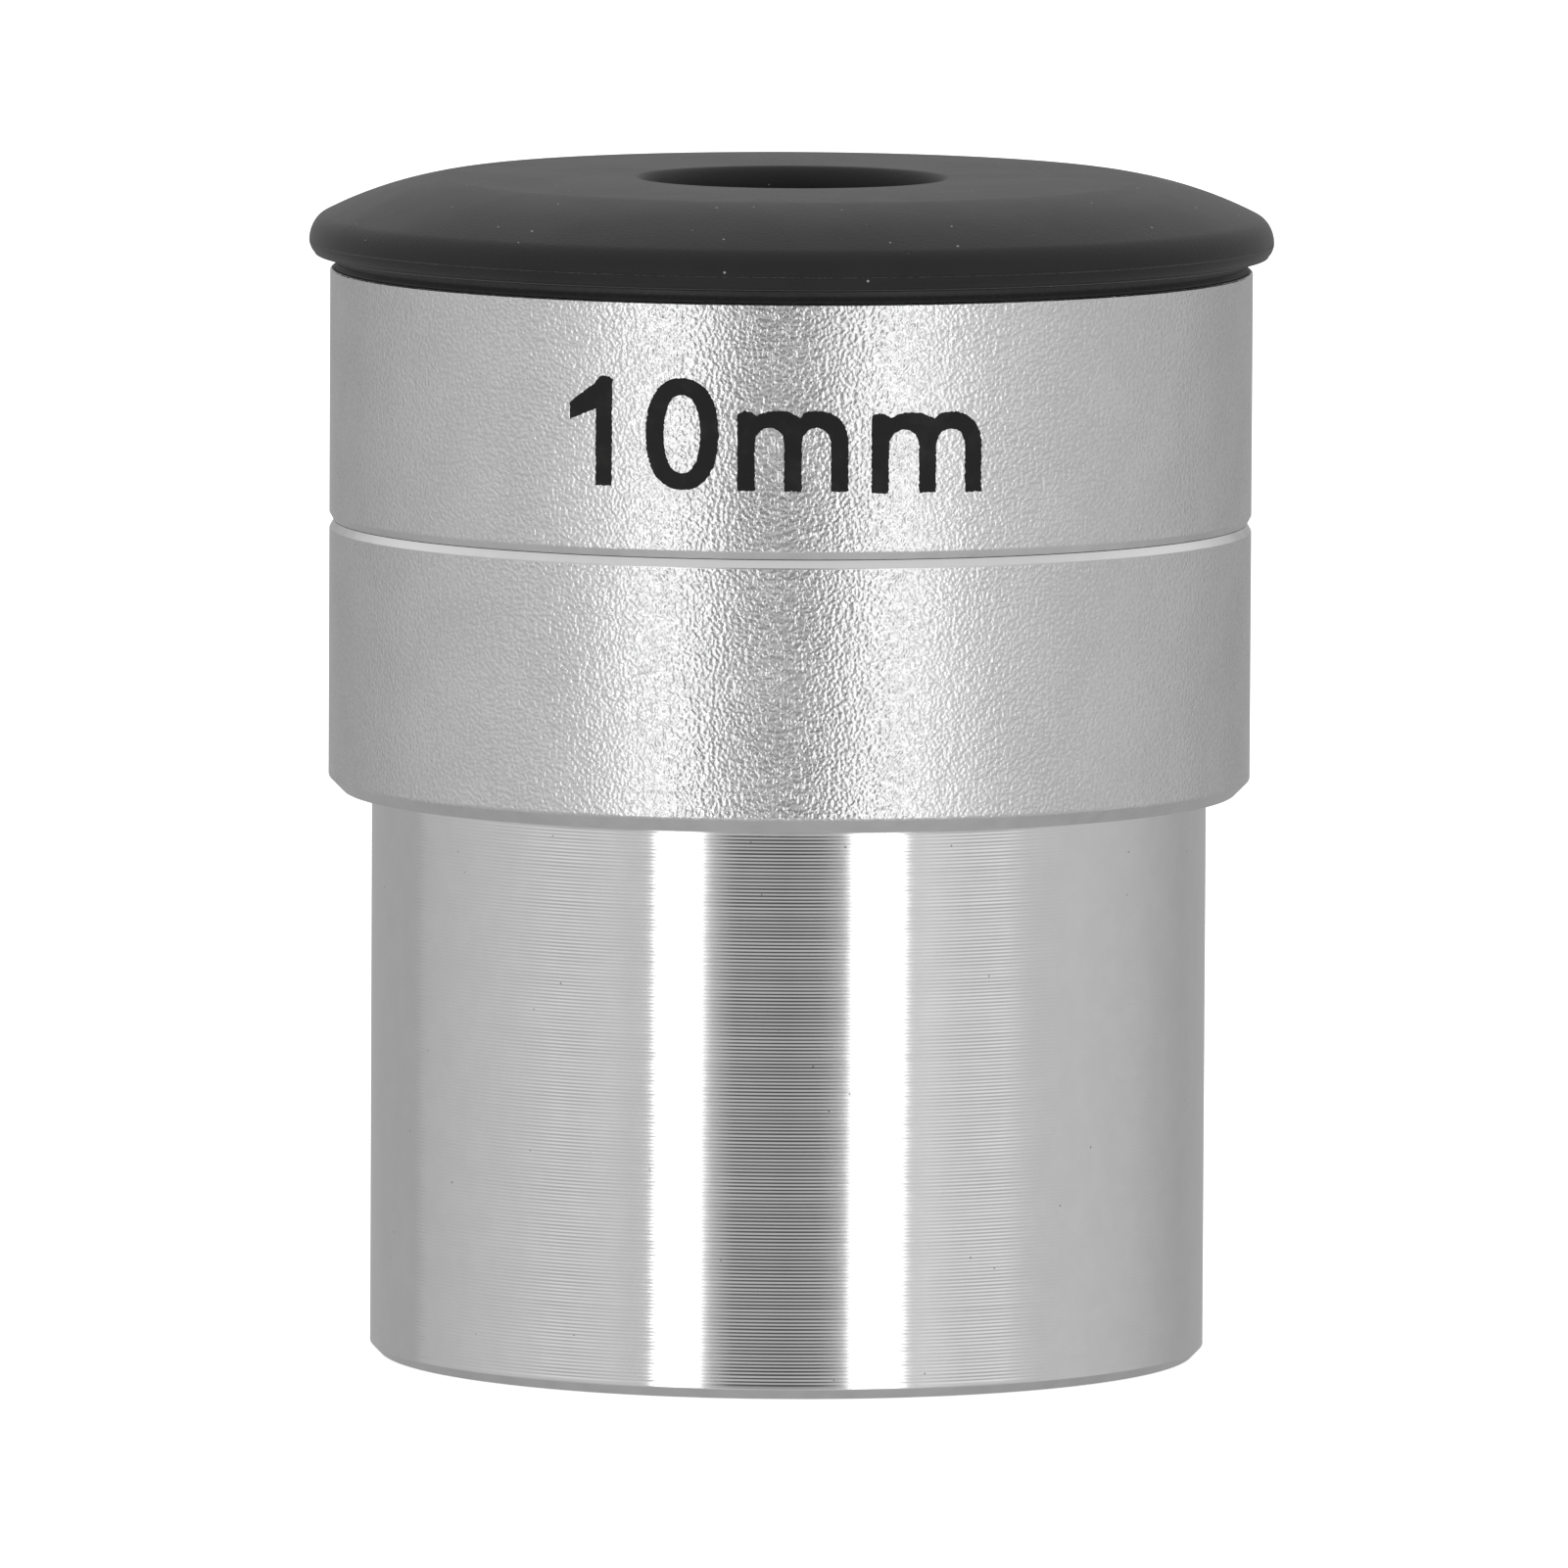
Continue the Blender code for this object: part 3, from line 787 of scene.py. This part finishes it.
def make_lens(node, flat_side, glass, edge):
    """A flint has its flat towards flat_side (+1 up); a crown, flat_side 0, is convex on both sides."""
    interface, outer = INTERFACE_CURVATURE, OUTER_CURVATURE
    radius, base, top = span(node)
    steps = [radius * i / 10 for i in range(11)]
    eye_side = node.startswith("eye")
    if flat_side:
        flat = top if flat_side > 0 else base
        vertex = (base if flat_side > 0 else top) + flat_side * sag(interface, radius)
        curve = [(r, vertex - flat_side * sag(interface, r)) for r in steps]
        upper = [(0.0, flat), (radius - 0.1, flat), (radius, flat - 0.08)] if flat_side > 0 else curve
        lower = curve if flat_side > 0 else [(0.0, flat), (radius - 0.1, flat), (radius, flat + 0.08)]
    else:
        curved_up, curved_down = (interface, outer) if eye_side else (outer, interface)
        upper = [(r, top - sag(curved_up, r)) for r in steps]
        lower = [(r, base + sag(curved_down, r)) for r in steps]
    lower = lower[::-1]
    profile = [
        *path(upper[:-1]),
        *path(upper[-1:], sharp=True),
        *path(lower[:1], look=1, sharp=True),
        *path(lower[1:]),
    ]
    lens = turned(node + "_glass", profile, [glass, edge], LENS_SEGMENTS)
    return finish_piece(lens, "lens_pack", "glass", node)


def make_lens_pack(black, glass, edge):
    radius, base, top = span("lens_cell")
    lens_radius, _, eye_flat = span("eye_lens_flint")
    bore = lens_radius + 0.06
    corners = [
        corner(CELL_APERTURE, top, 0.12),
        corner(radius, top, 0.06),
        corner(radius, base, 0.08),
        corner(bore, base, 0.05),
        corner(bore, eye_flat + 0.05, 0.02),
        corner(CELL_APERTURE, eye_flat + 0.05, 0.02),
    ]
    cell = turned("lens_cell_tube", corners, [black], LENS_SEGMENTS)
    finish_piece(cell, "lens_pack", "black_anodised", "lens_cell")
    slotted_ring("cell_clamp", "cell_lock_ring", 5.6, black, "lens_pack", -1, chamfer=0.08)
    radius, base, top = span("lens_spacer")
    corners = [
        corner(SPACER_BORE, top, 0.03),
        corner(radius, top, 0.03),
        corner(radius, base, 0.03),
        corner(SPACER_BORE, base, 0.03),
    ]
    spacer = turned("spacer_ring", corners, [black], LENS_SEGMENTS)
    finish_piece(spacer, "lens_pack", "black_anodised", "lens_spacer")
    make_lens("eye_lens_flint", 1, glass, edge)
    make_lens("eye_lens_crown", 0, glass, edge)
    make_lens("field_lens_crown", 0, glass, edge)
    make_lens("field_lens_flint", -1, glass, edge)


# ---------------------------------------------------------------- marking


def arch(centre, half, spring, rise, power, start, end, steps=14):
    """Points on a squarish arch, from angle start to end in degrees (180 is its left foot)."""
    points = []
    for i in range(steps + 1):
        a = math.radians(start + (end - start) * i / steps)
        c, s = math.cos(a), math.sin(a)
        x = math.copysign(abs(c) ** (2 / power), c)
        y = math.copysign(abs(s) ** (2 / power), s)
        points.append((centre + half * x, spring + rise * y))
    return points


def letter_m(width):
    """An outline of two arches on three stems, with a notch beside the first stem."""
    pitch = (width - STROKE) / 2
    inner = (pitch - STROKE) / 2
    outer = inner + STROKE
    inner_rise = inner * 1.2
    spring = LETTER_HEIGHT - STROKE * 0.97 - inner_rise
    outer_rise = LETTER_HEIGHT - spring
    left, right = STROKE + inner, STROKE + inner + pitch
    notch, dip = STROKE + 0.05, pitch + STROKE - 0.06
    first = arch(left + 0.3, outer + 0.15, spring, outer_rise, 2.1, 150, 0, 28)
    second = arch(right, outer, spring, outer_rise, 2.3, 170, 0, 28)
    outline = [(0.0, 0.0), (0.0, LETTER_HEIGHT - 0.2), (0.09, LETTER_HEIGHT - 0.08)]
    outline += [(0.3, LETTER_HEIGHT - 0.02), (STROKE - 0.12, LETTER_HEIGHT - 0.07)]
    outline += [p for p in first if notch < p[0] < dip - 0.05]
    outline += [(dip, LETTER_HEIGHT - 0.27)]
    outline += [p for p in second if p[0] > dip + 0.14]
    outline += [(width, 0.0), (width - STROKE, 0.0)]
    outline += arch(right, inner, spring, inner_rise, 2.2, 0, 180, 12)
    outline += [(pitch + STROKE, 0.0), (pitch, 0.0)]
    outline += arch(left, inner, spring, inner_rise, 2.2, 0, 180, 12)
    outline += [(STROKE, 0.0)]
    return [outline]


def digit_one(width):
    """A stem with a flag that falls away to the left."""
    stem, top = width - STROKE, DIGIT_HEIGHT
    flag_under = [(stem, 0.0), (stem, top * 0.7), (stem * 0.45, top * 0.64)]
    flag_end = [(0.0, top * 0.595), (0.0, top * 0.75), (stem * 0.1, top * 0.775)]
    flag_over = [(stem * 0.5, top * 0.845), (stem * 0.92, top * 0.925), (stem * 1.12, top * 0.985)]
    head = [(stem * 1.22, top), (width - 0.1, top), (width, top - 0.1), (width, 0.0)]
    return [flag_under + flag_end + flag_over + head]


def digit_zero(width):
    """An upright oval ring."""
    middle, half = DIGIT_HEIGHT / 2, width / 2
    outer = arch(half, half, middle, middle + 0.04, 2.3, 0, 360, 60)[:-1]
    inner = arch(half, half - STROKE * 1.05, middle, middle + 0.04 - STROKE * 0.95, 2.25, 0, 360, 48)[:-1]
    return [outer, inner]


def resampled(loop, step=0.07):
    """The loop with points about step apart; make_mark then moves each a little, as ink on a blasted
    surface.
    """
    points = []
    for i, start in enumerate(loop):
        end = loop[(i + 1) % len(loop)]
        pieces = max(1, round(math.dist(start, end) / step))
        for k in range(pieces):
            t = k / pieces
            points.append((start[0] + (end[0] - start[0]) * t, start[1] + (end[1] - start[1]) * t))
    return points


def make_mark(name, loops, start, baseline, look, radius, draw):
    """One character as a thin layer of ink wrapped round the housing, start mm right of the front."""
    curve = bpy.data.curves.new(name, "CURVE")
    curve.dimensions = "2D"
    curve.fill_mode = "BOTH"
    curve.extrude = INK_THICKNESS
    for loop in loops:
        points = resampled(loop)
        spline = curve.splines.new("POLY")
        spline.points.add(len(points) - 1)
        spline.use_cyclic_u = True
        for point, (x, y) in zip(spline.points, points):
            point.co = (x + draw.gauss(0, INK_WOBBLE), y + draw.gauss(0, INK_WOBBLE), 0.0, 1.0)
    flat = bpy.data.objects.new(name, curve)
    bpy.context.scene.collection.objects.link(flat)
    depsgraph = bpy.context.evaluated_depsgraph_get()
    mesh = bpy.data.meshes.new_from_object(flat.evaluated_get(depsgraph))
    bpy.data.objects.remove(flat)
    cut = bmesh.new()
    cut.from_mesh(mesh)
    bmesh.ops.remove_doubles(cut, verts=cut.verts, dist=1e-5)
    widest = max(v.co.x for v in cut.verts)
    across = INK_STRIP
    while across < widest:
        geometry = cut.verts[:] + cut.edges[:] + cut.faces[:]
        bmesh.ops.bisect_plane(cut, geom=geometry, dist=1e-6, plane_co=(across, 0, 0), plane_no=(1, 0, 0))
        across += INK_STRIP
    for vertex in cut.verts:
        angle = (start + vertex.co.x) / radius
        out = (radius + vertex.co.z) * MM
        height = (baseline + vertex.co.y) * MM
        vertex.co = (out * math.sin(angle), -out * math.cos(angle), height)
    bmesh.ops.recalc_face_normals(cut, faces=cut.faces)
    cut.to_mesh(mesh)
    cut.free()
    mesh.materials.clear()
    mesh.materials.append(look)
    mesh.polygons.foreach_set("use_smooth", [True] * len(mesh.polygons))
    mesh.set_sharp_from_angle(angle=math.radians(40))
    mark = bpy.data.objects.new(name, mesh)
    bpy.context.scene.collection.objects.link(mark)
    return finish_piece(mark, "housing", "black_anodised")


def make_marking(look):
    """The focal length, 10mm: where each character starts, how wide it is and how high it stands."""
    radius = span("upper_body")[0]
    draw = random.Random(CHARACTERS_SEED)
    characters = (
        ("mark_one", digit_one, -8.59, 1.74, 34.39),
        ("mark_zero", digit_zero, -5.5, 2.79, 34.35),
        ("mark_first_m", letter_m, -2.0, 4.16, 34.31),
        ("mark_second_m", letter_m, 3.03, 4.3, 34.23),
    )
    for name, shape, start, width, baseline in characters:
        make_mark(name, shape(width), start, baseline, look, radius, draw)


# ---------------------------------------------------------------- stage


def make_floor():
    """A pale ground that glows a little, and can't be seen from below."""
    material, nodes, shader, place = new_material("pale_floor")
    grain = noise(nodes, place, 0.02, detail=2.0)
    colour = nodes.blend(nodes.between(grain, 0.3, 0.7), grey(0.88), grey(0.9))
    set_shader(material, shader, Base_Color=colour, Roughness=0.9, Specular_IOR_Level=0.0)
    set_shader(material, shader, Emission_Color=grey(1.0), Emission_Strength=FLOOR_GLOW)
    underside = nodes.add("ShaderNodeNewGeometry", output=6)
    clear = nodes.add("ShaderNodeBsdfTransparent")
    surface = nodes.add("ShaderNodeMixShader", inputs={0: underside, 1: shader.outputs[0], 2: clear})
    material.node_tree.links.new(surface, material.node_tree.nodes["Material Output"].inputs[0])
    corners = [(x * FLOOR_HALF, y * FLOOR_HALF, 0.0) for x, y in ((-1, -1), (1, -1), (1, 1), (-1, 1))]
    floor = make_object("floor", corners, [(0, 1, 2, 3)], [material])
    floor.visible_glossy = False
    floor.visible_shadow = False


def make_world():
    """A lit surround, with two bright strips left and right of the camera and dark between them."""
    world = bpy.data.worlds.new("light_tent")
    bpy.context.scene.world = world
    world.use_nodes = True
    nodes = Nodes(world.node_tree)
    direction = nodes.add("ShaderNodeTexCoord", output=0)
    split = nodes.add("ShaderNodeSeparateXYZ", inputs={0: direction}).node
    across, depth, up = split.outputs
    azimuth = nodes.math("ARCTAN2", across, nodes.math("MULTIPLY", depth, -1.0))
    azimuth = nodes.math("MULTIPLY", azimuth, 180 / math.pi)
    elevation = nodes.math("MULTIPLY", nodes.math("ARCSINE", up), 180 / math.pi)
    place = nodes.math("MULTIPLY_ADD", azimuth, 1 / 360, 0.5)
    upper = nodes.ramp(place, [((a + 180) / 360, above) for a, above, below in TENT])
    lower = nodes.ramp(place, [((a + 180) / 360, below) for a, above, below in TENT])
    lit = nodes.mix(nodes.between(elevation, *LOWER_TO_UPPER), lower, upper)
    off_middle = nodes.math("ABSOLUTE", nodes.math("SUBTRACT", elevation, STRIP_MIDDLE))
    beyond = nodes.between(off_middle, *STRIP_ENDS)
    lit = nodes.mix(beyond, lit, nodes.math("MINIMUM", lit, BEYOND_STRIPS))
    lit = nodes.mix(nodes.between(elevation, *TO_NADIR, 1.0, 0.0), lit, NADIR)
    lit = nodes.mix(nodes.between(elevation, *TO_OVERHEAD), lit, OVERHEAD)
    behind = nodes.between(nodes.math("ABSOLUTE", azimuth), *TO_BEHIND)
    raised = nodes.between(elevation, *TO_RAISED)
    lit = nodes.mix(nodes.math("MULTIPLY", behind, raised), lit, BACK_LIGHT)
    seen_by_camera = nodes.add("ShaderNodeLightPath")
    lit = nodes.mix(seen_by_camera, lit, BACKDROP)
    background = world.node_tree.nodes["Background"]
    world.node_tree.links.new(lit, background.inputs["Strength"])
    background.inputs["Color"].default_value = grey(1.0)


def make_camera():
    data = bpy.data.cameras.new("camera")
    data.sensor_width = 36.0
    data.lens = CAMERA_LENS
    data.clip_start = 0.05
    data.clip_end = 20.0
    camera = bpy.data.objects.new("camera", data)
    tilt = Matrix.Rotation(math.radians(90.0 - CAMERA_DOWN), 4, "X")
    roll = Matrix.Rotation(math.radians(CAMERA_ROLL), 4, "Z")
    camera.matrix_world = Matrix.Translation(CAMERA_PLACE) @ tilt @ roll
    bpy.context.scene.collection.objects.link(camera)
    bpy.context.scene.camera = camera


blasted = blasted_aluminium()
machined = machined_aluminium()
bright = turned_aluminium()
anodised = black_anodised()
bore = bore_black()
glass = coated_glass()
lens_edge = ground_edge()

make_barrel(bright, bore, machined)
make_field_stop(anodised)
make_lower_shell(blasted, machined, anodised)
make_upper_shell(blasted, machined, anodised)
slotted_ring("pack_clamp", "pack_lock_ring", 7.6, anodised, "housing", -1)
make_neck(anodised)
make_eyecup(rubber())
make_lens_pack(anodised, glass, lens_edge)
make_marking(ink())
make_floor()
make_world()
make_camera()
bpy.context.scene.view_settings.view_transform = "Standard"
